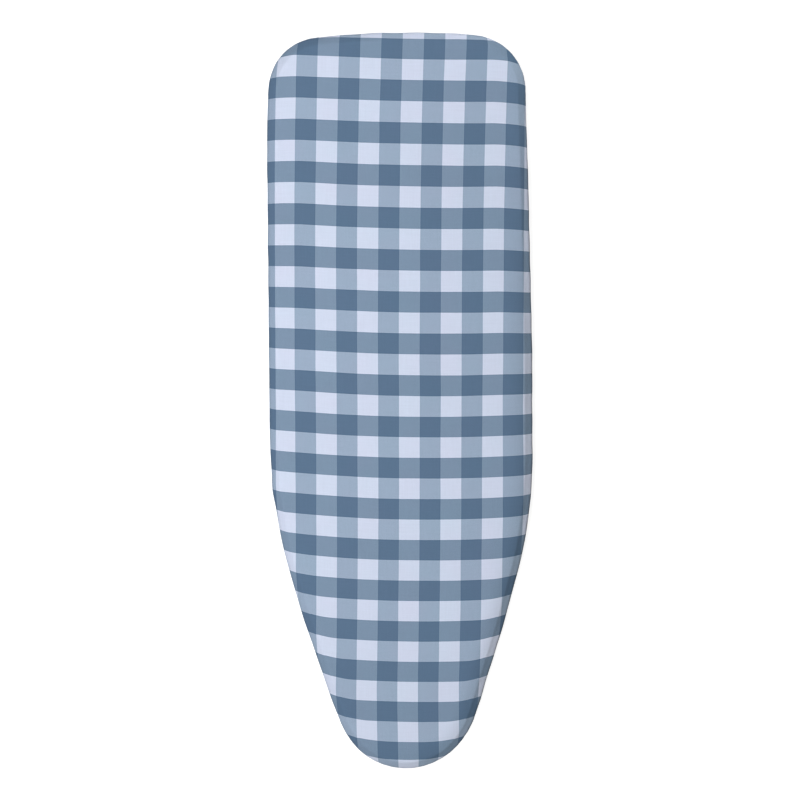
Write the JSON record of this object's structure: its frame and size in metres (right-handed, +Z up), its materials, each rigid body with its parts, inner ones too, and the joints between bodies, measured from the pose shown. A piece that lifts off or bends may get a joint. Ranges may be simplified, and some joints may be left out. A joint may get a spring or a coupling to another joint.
{
  "type": "ironing board cover",
  "caption": "Padded ironing board cover in blue and white woven check, with a gathered elastic hem and hook-and-loop cross straps underneath.",
  "frame": {"origin": "under the middle of the cover, on the plane that the hem rests on", "axes": "+Y towards the square tail end, -Y towards the narrow nose, +Z up out of the ironing surface, +X to the right seen from above with the tail at the top"},
  "size_m": [0.324, 0.904, 0.0266],
  "materials": {
    "cover_cloth": "plain woven cotton blend, blue and white check, matt",
    "foam": "soft open-cell foam, matt",
    "felt": "needled felt, matt",
    "binding": "folded bias tape, matt",
    "elastic": "braided flat elastic",
    "webbing": "woven elastic webbing, matt",
    "hook_tape": "moulded nylon hooks",
    "loop_tape": "brushed nylon loops"
  },
  "bodies": {
    "cover": {"cover_cloth": "cover_cloth", "foam_pad": "foam", "felt_backing": "felt", "hem_binding": "binding", "hem_elastic": "elastic", "nose_strap_anchor": "webbing", "nose_strap_tab": "webbing", "nose_strap_loop_patch": "loop_tape", "middle_strap_anchor": "webbing", "middle_strap_tab": "webbing", "middle_strap_loop_patch": "loop_tape", "tail_strap_anchor": "webbing", "tail_strap_tab": "webbing", "tail_strap_loop_patch": "loop_tape"},
    "nose_strap": {"nose_strap_web": "webbing", "nose_strap_hook_patch": "hook_tape"},
    "middle_strap": {"middle_strap_web": "webbing", "middle_strap_hook_patch": "hook_tape"},
    "tail_strap": {"tail_strap_web": "webbing", "tail_strap_hook_patch": "hook_tape"}
  },
  "joints": [
    {"name": "nose_strap_hinge", "type": "hinge", "parent": "cover", "child": "nose_strap", "pos_m": [-0.10168, -0.15368, 0.0042], "axis": [0, 1, 0], "range_deg": [0, 90]},
    {"name": "middle_strap_hinge", "type": "hinge", "parent": "cover", "child": "middle_strap", "pos_m": [-0.11409, 0.0452, 0.0042], "axis": [0, 1, 0], "range_deg": [0, 90]},
    {"name": "tail_strap_hinge", "type": "hinge", "parent": "cover", "child": "tail_strap", "pos_m": [-0.11083, 0.2712, 0.0042], "axis": [0, 1, 0], "range_deg": [0, 90]}
  ]
}
